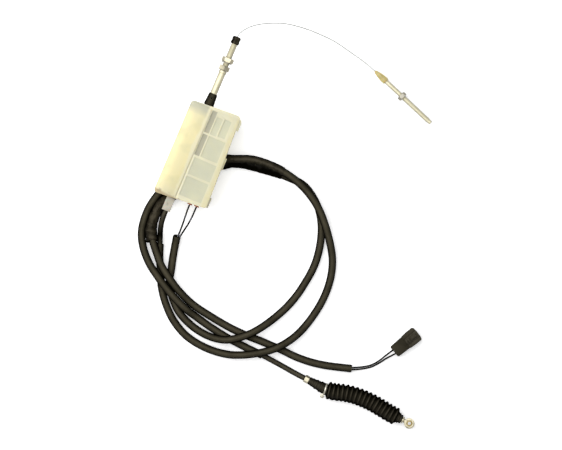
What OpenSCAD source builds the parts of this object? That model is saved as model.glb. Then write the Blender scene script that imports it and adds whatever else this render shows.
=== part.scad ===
// Throttle control cable with a two-part switch housing, a threaded adjuster, a wire end rod,
// a bellows-booted pedal end and a two-way switch lead. It lies flat on its standoffs.
// Origin: on the adjuster axis, at the bracket face of the lock washer. +Y runs out along
// the adjuster, +Z is up. Everything rests on the plane z = -axis_height.

/* [Housing] */
// Height of the adjuster axis above the surface that the part lies on
axis_height = 32; // [30:1:36]
// Thickness of the two halves of the housing together
housing_h = 30; // [30:1:34]
// Wall of both housing halves
wall = 2.2; // [1.8:0.1:2.4]
// Radius of the housing's corners in plan
corner_r = 5; // [3:1:7]
// Height of the raised chamber over the slider
bulge_h = 2; // [1:0.5:3]

/* [Adjuster] */
// Crest radius of the adjuster's M8 thread
thread_r = 3.95; // [3.9:0.01:4]
// Radius of the adjuster's plain stem
stem_r = 4.3; // [4.2:0.05:4.4]
// Width across flats of the adjuster's lock nuts
locknut_af = 13; // [12:0.5:14]

/* [Wires and cable] */
// Radius of the inner wire
wire_r = 0.75; // [0.6:0.05:0.8]
// Radius of the bare control cable
conduit_r = 3.4; // [3:0.1:3.4]
// Radius of the sleeve on the control cable
sleeve_r = 4.9; // [4.5:0.1:4.9]
// Radius of the sleeve on the switch lead
harness_r = 4.9; // [4.5:0.1:4.9]
// Radius of one switch wire
lead_r = 1.05; // [0.9:0.05:1.05]

/* [Wire end] */
// Radius of the end rod's M6 thread
rod_r = 3; // [2.9:0.05:3]
// Width across flats of the end rod's nut
rod_nut_af = 10; // [9.5:0.5:10]

/* [Pedal end] */
// Crest radius of the bellows
bellows_r = 11.5; // [10:0.5:11.5]
// Number of convolutions of the bellows
convolutions = 17; // [14:1:18]
// Radius of the pull rod
pull_rod_r = 2.5; // [2:0.1:2.6]
// Radius of the pin that goes through the end eye
eye_pin_r = 2.1; // [2:0.05:2.2]

/* [Connector] */
// Length of the connector housing
plug_l = 38; // [34:1:40]
// Width of the connector housing's wider half
plug_w = 19.2; // [18:0.2:20]
// Height of the connector housing
plug_h = 12; // [11:0.5:13]

/* [Hidden] */

// Housing planes
base_z = -14;
top_z = base_z + housing_h;
seam_z = 6;
left_x = -21;
right_top_x = 43;
right_foot_x = 47.5;
top_left_y = -58.3;
top_right_y = -54.3;
socket_y = -56.5;
foot_left_y = -181.5;
foot_right_y = -176;
bulge_right_x = 7.5;
rib_edge_x = 39;
panel_depth = 0.8;
window_depth = 1.2;

// Offset of the control cable's outlet from the adjuster's axis
outlet_x = 2;

// Where the wires leave through the housing's foot wall
grommet_xs = [26.6, 35.4];
grommet_z = 2;
grommet_bore_r = 2.65;

// Standoffs under the housing
foot_spots = [[-13, -68], [34, -68], [-13, -130], [37, -166]];
foot_r = 6;
insert_r = 3.2;
insert_bore_r = 2.1;
insert_l = 12;

// Slider, cam and switch
slider_top_y = -95;
slider_foot_y = -121;
slider_mid_y = (slider_top_y + slider_foot_y) / 2;
slider_half_w = 6;
slider_z = -11.5;
slider_top_z = 5.5;
nipple_r = 3;
nipple_spots = [[0, slider_top_y - 5], [outlet_x, slider_foot_y + 5]];
cam_x = 8.2;
cam_w = 5.8;
cam_z = 9;
cam_t = 3;
cam_slope = 0.1;
cam_ramp_foot_y = -118;
cam_ramp_l = 42;
plunger_y = -113;
plunger_r = 1.5;
plunger_z = cam_z + cam_t / 2;
plunger_tip_x = cam_x + cam_w + cam_slope * (plunger_y - cam_ramp_foot_y) + 0.3;
plunger_l = 9;
switch_x = 20;
switch_w = 16;
switch_y = -129;
switch_l = 24;
switch_z = 4;
switch_h = 9;
switch_screw_spots = [[24, -125], [32, -109]];
terminal_xs = [23, 31];

// Running clearance round the turning and sliding pieces
fit = 0.05;

// Free wire end: place of the olive's tip and direction of the rod
olive_tip = [174, 64.5];
rod_angle = -20;
rod_h = 5.2;
olive_l = 19;
rod_l = 95;
rod_nut_z = 43.5;
rod_nut_h = 5;

// Pedal end: axis of the pull rod, and start and direction of the boot's neck
pull_angle = -4;
eye_at = [384.8, -323.4];
pedal_h = 11.7;
neck_at = [248.6, -323];
neck_angle = -5;
cuff_r = 8.2;
fold_depth = 2.1;
boot_t = 1.2;
eye_t = 6;
bush_r = 3.7;

// Connector: middle of its wire end and its direction
plug_at = [332.8, -248.9];
plug_angle = 62;
plug_pitch = 5.4;
contact_bore_r = 0.9;
contact_bore_l = 14;

// Routes: x, y and height above the surface, in order from the housing
conduit_upper_route = [[2, -197.5, 32], [2, -202, 32], [2.4, -209, 30.6], [3.5, -216, 27],
  [5, -222, 21.4], [7, -228, 13.6], [9, -233.5, 8.8], [11, -239, 6.4]];
cable_route = [[11, -239, 6.4], [17, -254, 5.2], [25, -270, 5.2], [34, -288, 5.2], [47, -305, 5.2],
  [65, -321, 5.2], [87, -332, 5.2], [112, -336, 5.2], [137, -334, 9.5], [158, -327, 15.7],
  [179, -315, 15.7], [197, -300, 15.7], [211, -280, 9.5], [220, -256, 5.2], [225, -229, 5.2],
  [225, -203, 5.2], [219, -178, 6], [208, -158, 10.5], [190, -135, 15.6], [171, -117, 15.6],
  [148, -104, 15.6], [124, -97, 15.6], [100, -95, 15.6], [77, -97.2, 15.7], [59, -104, 15],
  [44.5, -110.4, 13.8], [30, -121, 12.4], [14, -138, 11], [-1, -156, 8], [-12.5, -175, 5.2],
  [-18.5, -196, 5.2], [-19.5, -215, 5.2], [-16, -234, 5.2], [-6.5, -251, 7], [8, -266, 13.5],
  [24, -278, 15.8], [41, -288, 15.7], [58, -296, 15.7], [73, -301, 13], [88, -305, 6.5], [110, -310, 5.2],
  [135, -314, 5.2], [160, -316, 5.2], [183, -317, 5.2]];
conduit_lower_route = [[183, -317, 5.2], [202, -318.8, 3.8], [216, -320.2, 4.6], [230, -321.6, 8.6],
  [242.6, -322.5, 11.7]];
harness_route = [[26.8, -221.5, 10], [28.6, -231, 6.6], [32, -246, 5.2], [36.2, -262, 5.2],
  [41.5, -278, 5.2], [51.5, -293, 5.2], [67, -307, 5.2], [89, -318, 5.2], [112, -321, 8.8],
  [133, -317, 15.6], [151, -305, 15.7], [165, -290, 14], [180, -266, 6], [191, -240, 5.2],
  [197, -212, 5.2], [199, -186, 5.2], [195, -160, 5.2], [186, -136, 5.2], [172, -117, 5.2],
  [149, -102, 5.2], [124, -100, 5.2], [101, -102, 5.2], [78, -105, 5.2], [60.5, -109, 5.2],
  [46, -116, 5.2], [34, -129, 5.2], [20, -146, 5.2], [7, -164, 5.2], [-2.5, -181, 5.2], [-7.5, -196, 5.2],
  [-8, -212, 5.2], [-4.5, -227, 7.5], [2.5, -240, 13], [13, -252, 15.8], [25, -263, 15.8],
  [41, -274, 15.7], [58, -283.5, 12], [78, -292, 6], [101, -296.5, 5.2], [126, -300.5, 5.2],
  [150, -302, 5.2], [175, -301.5, 5.2], [200, -301.5, 5.2], [226, -302.5, 5.2], [256, -299, 5.2],
  [292.3, -288.8, 5.2]];
wire_bend_route = [[0, 36.1, 32], [0.2, 39, 32], [2, 43.5, 31.5], [8, 52, 29.5], [18, 60.5, 25.5],
  [31, 68, 20], [45, 74, 15], [60, 77.5, 10], [76, 79.5, 6]];
wire_free_route = [[76.4, 79.5, 5.9], [93, 80, 3], [113, 79, 1.2], [134, 75, 0.9], [156, 70, 2.5],
  [174, 64.5, 5.2]];
wire_a_route = [[24.5, -136, 39.5], [25, -146, 38], [26.6, -160, 34.5], [26.6, -170, 34],
  [26.6, -183, 34], [27, -192, 31], [27.7, -202, 24], [28, -212, 15], [28, -221.5, 10.6]];
wire_b_route = [[32.5, -136, 39.5], [34, -146, 38], [35.4, -160, 34.5], [35.4, -170, 34],
  [35.4, -183, 34], [35.2, -192, 31], [34.2, -202, 24], [32.2, -212, 15], [30.5, -221.5, 10.6]];
plug_a_route = [[292.2, -287.7, 5.2], [303, -282.1, 2.4], [312.5, -275.6, 1.4], [319.5, -267.2, 1.4],
  [324.2, -258.6, 3.6], [330.4, -247.6, 6]];
plug_b_route = [[292.9, -290, 5.2], [304, -284.3, 2.4], [314.2, -277.2, 1.4], [321.6, -268.4, 1.4],
  [327, -260.3, 3.2], [335.2, -250.2, 6]];
wrap_right_route = [[34, -121, 9.2], [43, -114, 9.6], [51, -110, 10.1], [60, -106.3, 10.3],
  [72, -102.6, 10.4], [85, -100.3, 10.4], [100, -98.8, 10.4], [118, -98.5, 10.4]];
wrap_right_half_w = [10.5, 9.6, 8.3, 8.2, 9, 9.4, 8.6, 7.2];
wrap_right_half_h = [8.2, 8.9, 9.8, 10, 10.2, 10.2, 10.3, 10.3];
wrap_left_route = [[6, -169, 5.6], [-3, -184, 5.6], [-8.2, -197, 5.6], [-9.2, -212, 5.8],
  [-5.6, -226, 7.6], [1.6, -239, 12.8]];
wrap_left_half_w = [7, 7.4, 7.1, 6.8, 6.2, 5.6];
wrap_left_half_h = [5.4, 5.5, 5.5, 5.5, 5.6, 5.5];
bellows_route = [[273.9, -325.2, 11.7], [284, -323.4, 11.7], [296, -320, 11.7], [308, -318, 11.7],
  [320, -317.4, 11.7], [333, -317.9, 11.7], [346, -319.6, 11.7], [357, -321.2, 11.7],
  [367.6, -322.1, 11.7]];
pedal_wire_route = [[278.8, -325.6, 11.7], [289, -323.6, 11.7], [300, -319.6, 11.7],
  [310.7, -318.2, 11.7]];

// A route's point in the part's own frame
function lie(p) = [p[0], p[1], p[2] - axis_height];
function lie_all(route) = [for (p = route) lie(p)];

function unit(v) = v / norm(v);

// Outline whose two sides mirror each other in the x axis, from the points of its +y side
function both_sides(side) =
  concat(side, [for (i = [len(side) - 1 : -1 : 0]) [side[i][0], -side[i][1]]]);

// Direction of a path at its point i
function heading(path, i) = unit(path[min(i + 1, len(path) - 1)] - path[max(i - 1, 0)]);

// One ring of a tube: half-widths rx across and rz upward
function ring(path, i, rx, rz, sides) =
  let (t = heading(path, i))
  let (u = unit(cross([0, 0, 1], t)))
  let (w = cross(t, u))
  [for (k = [0 : sides - 1])
    let (turn = 360 * k / sides)
    path[i] + rx * cos(turn) * u + rz * sin(turn) * w];

// Wall face k between rings i and i + 1
function wall_face(i, k, sides) =
  let (next = (k + 1) % sides)
  [i * sides + k, (i + 1) * sides + k, (i + 1) * sides + next, i * sides + next];

// Closed tube swept along a path, with a half-width and a half-height for each point
module tube_along(path, rx, rz, sides) {
  last = len(path) - 1;
  points = [for (i = [0 : last]) each ring(path, i, rx[i], rz[i], sides)];
  walls = [for (i = [0 : last - 1]) for (k = [0 : sides - 1]) wall_face(i, k, sides)];
  first_cap = [for (k = [0 : sides - 1]) k];
  last_cap = [for (k = [sides - 1 : -1 : 0]) last * sides + k];
  polyhedron(points = points, faces = concat(walls, [first_cap, last_cap]));
}

// Plain cord along a route
module cord(route, r, sides) {
  radii = [for (p = route) r];
  tube_along(lie_all(route), radii, radii, sides);
}

// Point of a smooth curve through the route, s from 0 to its number of spans
function smooth(route, s) =
  let (i = min(floor(s), len(route) - 2))
  let (t = s - i)
  let (a = route[max(i - 1, 0)])
  let (b = route[i])
  let (c = route[i + 1])
  let (d = route[min(i + 2, len(route) - 1)])
  let (square = (2 * a - 5 * b + 4 * c - d) * t * t)
  let (cube = (3 * b - a - 3 * c + d) * t * t * t)
  0.5 * (2 * b + (c - a) * t + square + cube);

// Cylinder along +Y from y, centred on the adjuster axis
module along_y(r, y, length, sides = 48) {
  translate([0, y, 0]) rotate([-90, 0, 0]) cylinder(r = r, h = length, $fn = sides);
}

// Hexagonal prism along +Y; turn 0 puts corners to the sides, 30 puts flats there
module hex_y(af, y, length, turn) {
  translate([0, y, 0]) rotate([-90, turn, 0]) cylinder(r = af / 2 / cos(30), h = length, $fn = 6);
}

module box_between(low, high) {
  translate(low) cube(high - low);
}

// Plan of the housing, drawn in by an inset
function plan_corners(inset) = [
  [left_x + inset, top_left_y - inset],
  [right_top_x - inset, top_right_y - inset],
  [right_foot_x - inset, foot_right_y + inset],
  [left_x + inset, foot_left_y + inset]];

// Corner rounded with a quadratic curve from r before it to r after it
function round_corner(p, i, r) =
  let (n = len(p))
  let (a = p[i] + r * unit(p[(i + n - 1) % n] - p[i]))
  let (b = p[i] + r * unit(p[(i + 1) % n] - p[i]))
  [for (t = [0 : 0.2 : 1]) (1 - t) * (1 - t) * a + 2 * t * (1 - t) * p[i] + t * t * b];

module plan(inset, r) {
  corners = plan_corners(inset);
  polygon([for (i = [0 : 3]) each round_corner(corners, i, r)]);
}

module slab(z, top, inset, r) {
  translate([0, 0, z]) linear_extrude(top - z) plan(inset, r);
}

// Y of the foot wall's outer face at x
function foot_y(x) =
  let (slope = (foot_right_y - foot_left_y) / (right_foot_x - left_x))
  foot_left_y + slope * (x - left_x);

module housing_base() color("ivory") {
  difference() {
    slab(base_z, seam_z, 0, corner_r);
    slab(base_z + wall, seam_z + 1, wall, corner_r - wall / 2);
    along_y(5.25, top_left_y - wall, 2 * wall);
    translate([outlet_x, 0, 0]) along_y(4.85, foot_left_y - 1, wall + 8);
    for (x = grommet_xs) translate([x, 0, grommet_z]) along_y(grommet_bore_r, foot_y(x) - 2, wall + 5);
  }
  slider_guides();
  for (p = switch_screw_spots) switch_post(p);
}

// Two walls that the slider runs between
module slider_guides() {
  for (x = [-slider_half_w - 2, slider_half_w + 0.3])
    box_between([x, -160, base_z + wall - 0.1], [x + 1.7, -90, 2]);
}

module switch_post(p) {
  difference() {
    translate([p[0], p[1], base_z + 1]) cylinder(r = 3, h = switch_z - base_z - 1, $fn = 32);
    translate([p[0], p[1], switch_z - 6]) cylinder(r = 1.15, h = 7, $fn = 32);
  }
}

// Raised chamber over the slider, drawn across the housing
module bulge() {
  step = 1.4;
  low = top_z - 0.1;
  mid = top_z + bulge_h * 0.6;
  high = top_z + bulge_h;
  from_x = left_x + 1;
  profile = [[from_x, low], [from_x + step, mid], [from_x + 3 * step, high],
    [bulge_right_x - 3 * step, high], [bulge_right_x - step, mid], [bulge_right_x, low]];
  translate([0, top_left_y - 2, 0]) rotate([90, 0, 0]) linear_extrude(118) polygon(profile);
}

// Fields sunk into the cover's flat side, which leave its ribs standing
module cover_fields() {
  fields = [[16, -89, 24, -66], [26, -88, 35, -65], [16, -119, rib_edge_x - 1, -91.5],
    [10, -144.5, rib_edge_x, -122.5], [10, -172.5, rib_edge_x, -147.5]];
  windows = [[7.9, -89, 14.4, -60.5], [7.9, -119.5, 14.2, -91.5]];
  for (f = fields) box_between([f[0], f[1], top_z - panel_depth], [f[2], f[3], top_z + 1]);
  for (f = windows) box_between([f[0], f[1], top_z - window_depth], [f[2], f[3], top_z + 1]);
}

// Snap tabs on the housing's right side
module cover_tabs() {
  top_tab = [[right_top_x - 4, -58], [right_top_x, -57.6], [45.4, -59], [46.5, -61.5],
    [46.5, -72.7], [right_top_x - 2, -72.7]];
  translate([0, 0, seam_z]) linear_extrude(top_z - 1 - seam_z) polygon(top_tab);
  box_between([45.2, -72.7, -4], [46.5, -62, seam_z + 0.1]);
  box_between([right_top_x - 1, -124.5, seam_z], [47.3, -109, top_z - 3]);
  box_between([right_foot_x - 3, -174.5, seam_z], [49, -161.5, top_z - 1.5]);
  box_between([47.7, -173, -4], [49, -161.5, seam_z + 0.1]);
}

module housing_cover() color("floralwhite") {
  difference() {
    union() {
      slab(seam_z, top_z, 0, corner_r);
      bulge();
      cover_tabs();
    }
    slab(seam_z - 0.1, top_z - 2, wall, corner_r - wall / 2);
    cover_fields();
  }
}

module standoffs() color("dimgray") {
  for (p = foot_spots) translate([p[0], p[1], -axis_height]) difference() {
    cylinder(r = foot_r, h = axis_height + base_z, $fn = 40);
    translate([0, 0, -1]) cylinder(r = insert_r, h = insert_l + 1, $fn = 40);
  }
}

module foot_inserts() color("goldenrod") {
  for (p = foot_spots) translate([p[0], p[1], -axis_height]) difference() {
    cylinder(r = insert_r, h = insert_l, $fn = 40);
    translate([0, 0, -1]) cylinder(r = insert_bore_r, h = insert_l + 2, $fn = 40);
  }
}

// Black collar that carries the adjuster
module adjuster_socket() color("#202020") {
  profile = [[3.1, -62], [5.2, -62], [5.2, socket_y], [6.3, socket_y], [6.3, -53], [5.9, -50],
    [5.4, -42], [5, -41], [stem_r + fit, -41], [stem_r + fit, -54], [3.1, -54]];
  difference() {
    rotate([-90, 0, 0]) rotate_extrude($fn = 64) polygon(profile);
    translate([0, -47, 0]) cylinder(r = 1.05, h = 10, $fn = 24);
  }
}

module socket_pin() color("#303030") {
  translate([0, -47, 3.7]) cylinder(r = 1, h = 1.3, $fn = 24);
}

module adjuster_tube() color("#c9c2a2") {
  groove_r = 3.6;
  bore_r = 1.3;
  profile = [[bore_r, -53.9], [stem_r, -53.9], [stem_r, -48.3], [groove_r, -48.3], [groove_r, -45.7],
    [stem_r, -45.7], [stem_r, -13.2], [4.9, -13], [4.9, -10.2], [thread_r, -10], [thread_r, 30.4],
    [thread_r - 0.5, 31], [bore_r, 31]];
  rotate([-90, 0, 0]) rotate_extrude($fn = 64) polygon(profile);
}

// Hexagonal nut round the adjuster thread
module adjuster_nut(y, length, turn) {
  difference() {
    hex_y(locknut_af, y, length, turn);
    along_y(thread_r + fit, y - 1, length + 2);
  }
}

module lower_locknut() color("#d8c79c") adjuster_nut(-9.6, 5.8, 0);

module upper_locknut() color("#cdbf86") adjuster_nut(1.3, 6, 30);

module lock_washer() color("#8d8a80") {
  teeth = 12;
  washer_t = 1.2;
  rim = [for (k = [0 : 2 * teeth - 1])
    let (r = k % 2 == 0 ? 7 : 6.1)
    let (turn = 180 * k / teeth)
    [r * cos(turn), r * sin(turn)]];
  difference() {
    translate([0, washer_t, 0]) rotate([90, 0, 0]) linear_extrude(washer_t) polygon(rim);
    along_y(thread_r + 0.2, -1, washer_t + 2);
  }
}

module dust_cap() color("#1c1c1c") {
  difference() {
    union() {
      along_y(5.6, 26, 6.5, 8);
      along_y(4.9, 32.4, 3.4, 8);
    }
    along_y(thread_r + fit, 25, 6.5);
    along_y(wire_r + 0.15, 31, 6, 24);
  }
}

module guide_tube() color("#8f9092") {
  difference() {
    along_y(3, -92, 37.9);
    along_y(1.2, -93, 40);
  }
}

module slider_block() color("#55585a") {
  difference() {
    box_between([-slider_half_w, slider_foot_y, slider_z], [slider_half_w, slider_top_y, slider_top_z]);
    for (p = nipple_spots) translate([p[0], p[1], -4.5]) cylinder(r = nipple_r + fit, h = 11, $fn = 40);
    box_between([-1, slider_top_y - 5, -1], [1, slider_top_y + 1, 7]);
    box_between([outlet_x - 1, slider_foot_y - 1, -1], [outlet_x + 1, slider_foot_y + 5, 7]);
    translate([0, slider_mid_y, 0]) cylinder(r = 1.25, h = 7, $fn = 32);
  }
}

// Barrel nipple that the inner wire ends in
module wire_nipple(p) {
  translate([p[0], p[1], -4.5]) cylinder(r = nipple_r, h = 9, $fn = 40);
}

module wire_nipple_in() color("#a9a79c") wire_nipple(nipple_spots[0]);

module wire_nipple_out() color("#a9a79c") wire_nipple(nipple_spots[1]);

module inner_wire_core() color("silver") along_y(wire_r, slider_top_y - 2, 35.9 - slider_top_y + 2, 24);

module outlet_wire() color("silver") {
  translate([outlet_x, 0, 0]) along_y(wire_r, -166, slider_foot_y + 168, 24);
}

// Bar beside the slider whose ramp works the switch
module cam_bar() color("#77797b") {
  ramp_x = cam_x + cam_w;
  ramp_top_y = cam_ramp_foot_y + cam_ramp_l;
  ramp = [[ramp_x - 0.1, cam_ramp_foot_y], [ramp_x, cam_ramp_foot_y],
    [ramp_x + cam_slope * cam_ramp_l, ramp_top_y], [ramp_x - 0.1, ramp_top_y]];
  difference() {
    union() {
      box_between([cam_x, -119, cam_z], [ramp_x, -60, cam_z + cam_t]);
      box_between([-4, -112, slider_top_z], [cam_x + 1, -104, cam_z + cam_t]);
      translate([0, 0, cam_z]) linear_extrude(cam_t) polygon(ramp);
    }
    translate([0, slider_mid_y, 0]) cylinder(r = 1.25, h = 20, $fn = 32);
  }
}

module cam_screw() color("#b9bbbd") {
  shank_z = 1;
  head_z = cam_z + cam_t;
  translate([0, slider_mid_y, shank_z]) cylinder(r = 1.2, h = head_z - shank_z, $fn = 32);
  translate([0, slider_mid_y, head_z]) cylinder(r = 2.6, h = 1.6, $fn = 32);
}

// Cylinder along +X on the plunger's axis
module along_plunger(x, r, length) {
  translate([x, plunger_y, plunger_z]) rotate([0, 90, 0]) cylinder(r = r, h = length, $fn = 32);
}

module switch_body() color("#1d1f22") {
  low = [switch_x, switch_y, switch_z];
  difference() {
    box_between(low, low + [switch_w, switch_l, switch_h]);
    along_plunger(switch_x - 1, plunger_r + fit, 11);
    for (p = switch_screw_spots)
      translate([p[0], p[1], switch_z - 1]) cylinder(r = 1.25, h = switch_h + 2, $fn = 32);
  }
}

module switch_plunger() color("#b5482a") along_plunger(plunger_tip_x, plunger_r, plunger_l);

module switch_screws() color("#b9bbbd") {
  for (p = switch_screw_spots) {
    translate([p[0], p[1], switch_z - 5]) cylinder(r = 1.1, h = switch_h + 5, $fn = 32);
    translate([p[0], p[1], switch_z + switch_h]) cylinder(r = 2, h = 0.8, $fn = 32);
  }
}

module switch_terminals() color("#c08a3e") {
  for (x = terminal_xs) box_between([x, -136, 7.1], [x + 3, switch_y, 7.9]);
}

module wire_grommets() color("#c65a2c") {
  for (x = grommet_xs) translate([x, foot_y(x), grommet_z]) difference() {
    union() {
      along_y(grommet_bore_r - 0.05, -1.2, wall + 2.6, 32);
      along_y(3.3, -1.6, 1.2, 32);
    }
    along_y(lead_r + 0.15, -3, wall + 8, 32);
  }
}

// White square outlet that the control cable's end sits in
module outlet_fitting() color("#dcdcd6") {
  half = 5.2;
  block_top_y = foot_y(outlet_x - half) - 0.1;
  translate([outlet_x, 0, 0]) difference() {
    union() {
      box_between([-half, -197.5, -half], [half, block_top_y, half]);
      along_y(4.8, block_top_y - 1, 16.5);
    }
    along_y(1.3, -198, 40, 32);
    translate([0, -189.5, half - 0.9]) cylinder(r = 1.4, h = 2, $fn = 32);
  }
}

module inner_wire_bend() color("silver") cord(wire_bend_route, wire_r, 8);

module inner_wire_free() color("silver") cord(wire_free_route, wire_r, 8);

// Frame of the free wire end: +Z of the child runs out along the rod
module rod_frame() {
  translate([olive_tip[0], olive_tip[1], rod_h - axis_height]) rotate([0, 90, rod_angle]) children();
}

module wire_olive() color("#c8a24a") {
  profile = [[0, 0], [1.3, 0.2], [2, 1.5], [3, 5], [3.8, 9], [4.3, 13], [4.4, 16.5],
    [4.1, olive_l], [0, olive_l]];
  rod_frame() rotate_extrude($fn = 48) polygon(profile);
}

module end_rod() color("#d0ccb8") {
  neck_r = 2.7;
  thread_z = rod_nut_z - 0.5;
  groove_z = rod_nut_z + rod_nut_h + 1;
  profile = [[0, olive_l], [neck_r, olive_l], [neck_r, thread_z], [rod_r, thread_z],
    [rod_r, groove_z], [neck_r, groove_z], [neck_r, groove_z + 0.5], [rod_r, groove_z + 0.5],
    [rod_r, rod_l - 5], [rod_r - 0.5, rod_l - 4.6], [rod_r - 0.5, rod_l - 1], [rod_r - 1.2, rod_l],
    [0, rod_l]];
  rod_frame() rotate_extrude($fn = 48) polygon(profile);
}

module rod_locknut() color("#b7b1a2") {
  rod_frame() translate([0, 0, rod_nut_z]) difference() {
    rotate([0, 0, 30]) cylinder(r = rod_nut_af / 2 / cos(30), h = rod_nut_h, $fn = 6);
    translate([0, 0, -1]) cylinder(r = rod_r + fit, h = rod_nut_h + 2, $fn = 48);
  }
}

module conduit_upper() color("#2a2a2a") cord(conduit_upper_route, conduit_r, 10);

module cable_sleeve() color("#26261f") cord(cable_route, sleeve_r, 10);

module conduit_lower() color("#2a2a2a") cord(conduit_lower_route, conduit_r, 10);

module harness_sleeve() color("#2b2b26") cord(harness_route, harness_r, 10);

// Tape round both strands where they come out from under the housing
module wrap_right() color("#151515") {
  tube_along(lie_all(wrap_right_route), wrap_right_half_w, wrap_right_half_h, 12);
}

// Tape round the switch lead at the housing's foot
module wrap_left() color("#151515") {
  tube_along(lie_all(wrap_left_route), wrap_left_half_w, wrap_left_half_h, 12);
}

module switch_wire_a() color("#222222") cord(wire_a_route, lead_r, 8);

module switch_wire_b() color("#222222") cord(wire_b_route, lead_r, 8);

module plug_wire_a() color("#222222") cord(plug_a_route, lead_r, 8);

module plug_wire_b() color("#222222") cord(plug_b_route, lead_r, 8);

// Frame of the connector: +X runs from its wire end to its mating end
module plug_frame() {
  translate([plug_at[0], plug_at[1], -axis_height]) rotate([0, 0, plug_angle]) children();
}

// The connector's two wire ways, from x on: +Z of the child runs toward the mating end
module plug_ways(x) {
  for (y = [-plug_pitch / 2, plug_pitch / 2])
    plug_frame() translate([x, y, plug_h / 2]) rotate([0, 90, 0]) children();
}

module connector_body() color("#1b1b18") {
  half = plug_w / 2;
  mid_x = plug_l / 2;
  rear_side = [[0, half - 3], [1.2, half - 1.7], [mid_x + 1, half - 1]];
  front_side = [[mid_x, half - 0.6], [plug_l - 11, half], [plug_l - 2, half], [plug_l - 0.5, half - 2],
    [plug_l, half - 5.5]];
  difference() {
    plug_frame() {
      translate([0, 0, 0.3]) linear_extrude(plug_h - 1.3) polygon(both_sides(rear_side));
      linear_extrude(plug_h) polygon(both_sides(front_side));
    }
    plug_frame() for (side = [-1, 1]) translate([0, side * 3.6, plug_h - 0.5])
      rotate([0, 0, side * 2]) box_between([mid_x - 0.5, -0.25, 0], [plug_l + 1, 0.25, 1]);
    plug_ways(-1) cylinder(r = 1.9, h = 6, $fn = 32);
    plug_ways(12) cylinder(r = 1.45, h = plug_l, $fn = 32);
  }
}

// Latch arm on top of the connector's wider half
module connector_latch() color("#24241f") {
  arm_x = plug_l / 2 + 3;
  plug_frame() {
    box_between([arm_x, -2.8, plug_h], [plug_l - 3, 2.8, plug_h + 1.2]);
    box_between([arm_x, -2.8, plug_h + 1.1], [arm_x + 3, 2.8, plug_h + 2]);
  }
}

module connector_terminals() color("#b98d4a") {
  crimp_l = 4;
  plug_ways(plug_l - crimp_l - contact_bore_l - 4) difference() {
    cylinder(r = 1.4, h = crimp_l + contact_bore_l, $fn = 32);
    translate([0, 0, crimp_l]) cylinder(r = contact_bore_r, h = contact_bore_l + 1, $fn = 32);
  }
}

module wire_seals() color("#5a4a3a") plug_ways(0) cylinder(r = 1.85, h = 4.8, $fn = 32);

// Frame of the boot's neck: +Z of the child runs out along the neck, from its start
module neck_frame() {
  translate([neck_at[0], neck_at[1], pedal_h - axis_height]) rotate([0, 90, neck_angle]) children();
}

// Cylinder on the neck's axis, from a distance after the neck's start
module on_neck(r, from, length, sides = 48) {
  neck_frame() translate([0, 0, from]) cylinder(r = r, h = length, $fn = sides);
}

module conduit_ferrule() color("#d9d3b8") {
  on_neck(4.9, -6, 5.9, 6);
}

module conduit_end_tube() color("#b5b3a8") {
  difference() {
    on_neck(conduit_r, 0, 30);
    on_neck(1.2, 2, 30);
  }
}

module boot_neck() color("#20201c") {
  profile = [[3.45, 0], [4.6, 0], [5.2, 5], [5.6, 9], [6.4, 10], [6.4, 11.2], [5.9, 12], [6.3, 15.5],
    [7.2, 16.5], [7.2, 17.6], [6.9, 18.2], [6.9, 27.5], [3.45, 27.5]];
  neck_frame() rotate_extrude($fn = 48) polygon(profile);
}

// Band with its ear, on the boot's neck
module boot_clamp() color("#cfcfc4") {
  band_at = 23.2;
  band_w = 1.8;
  band_tilt = -10;
  ear_at = 23.6;
  ear_h = 5.2;
  difference() {
    union() {
      neck_frame() translate([0, 0, band_at]) rotate([band_tilt, 0, 0])
        cylinder(r = 7.7, h = band_w, center = true, $fn = 48);
      neck_frame() translate([ear_h / 2, -9.2, ear_at])
        rotate([0, -90, 0]) cylinder(r = 2.9, h = ear_h, $fn = 32);
    }
    on_neck(6.95, band_at - 4, 8);
  }
}

// Outer half-width of ring i of the bellows: even rings are valleys, odd rings are crests
function bellows_shell(i, last) =
  let (crest = i % 2)
  let (full = min(1, min(i, last - i)))
  cuff_r + full * (bellows_r - cuff_r - fold_depth * (1 - crest));

module bellows() color("#1c1a16") {
  last = 2 * convolutions;
  sides = 16;
  spans = len(bellows_route) - 1;
  path = [for (i = [0 : last]) lie(smooth(bellows_route, spans * i / last))];
  outer_r = [for (i = [0 : last]) bellows_shell(i, last)];
  outer = [for (i = [0 : last]) each ring(path, i, outer_r[i], outer_r[i], sides)];
  inner = [for (i = [0 : last]) each ring(path, i, outer_r[i] - boot_t, outer_r[i] - boot_t, sides)];
  inside = (last + 1) * sides;
  outer_walls = [for (i = [0 : last - 1]) for (k = [0 : sides - 1]) wall_face(i, k, sides)];
  inner_walls = [for (f = outer_walls) [for (n = [3 : -1 : 0]) f[n] + inside]];
  first_rim = [for (k = [0 : sides - 1]) [k, (k + 1) % sides, inside + (k + 1) % sides, inside + k]];
  last_rim = [for (f = first_rim) [for (n = [3 : -1 : 0]) f[n] + last * sides]];
  polyhedron(points = concat(outer, inner), faces = concat(outer_walls, inner_walls, first_rim, last_rim));
}

module pedal_wire() color("silver") cord(pedal_wire_route, wire_r, 8);

// Frame of the pull rod: +Z of the child runs out to the eye, which is at the origin
module pull_frame() {
  translate([eye_at[0], eye_at[1], pedal_h - axis_height]) rotate([0, 90, pull_angle]) children();
}

module pull_rod() color("#c9c4ae") {
  profile = [[0, -74], [pull_rod_r, -74], [pull_rod_r, -9.8], [0, -9.8]];
  pull_frame() rotate_extrude($fn = 48) polygon(profile);
}

module bellows_end_collar() color("#191815") {
  bore_r = pull_rod_r + fit;
  profile = [[bore_r, -17], [6.6, -17], [6.8, -15], [5.6, -13.6], [5.4, -10.2], [bore_r, -10.2]];
  pull_frame() rotate_extrude($fn = 48) polygon(profile);
}

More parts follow.
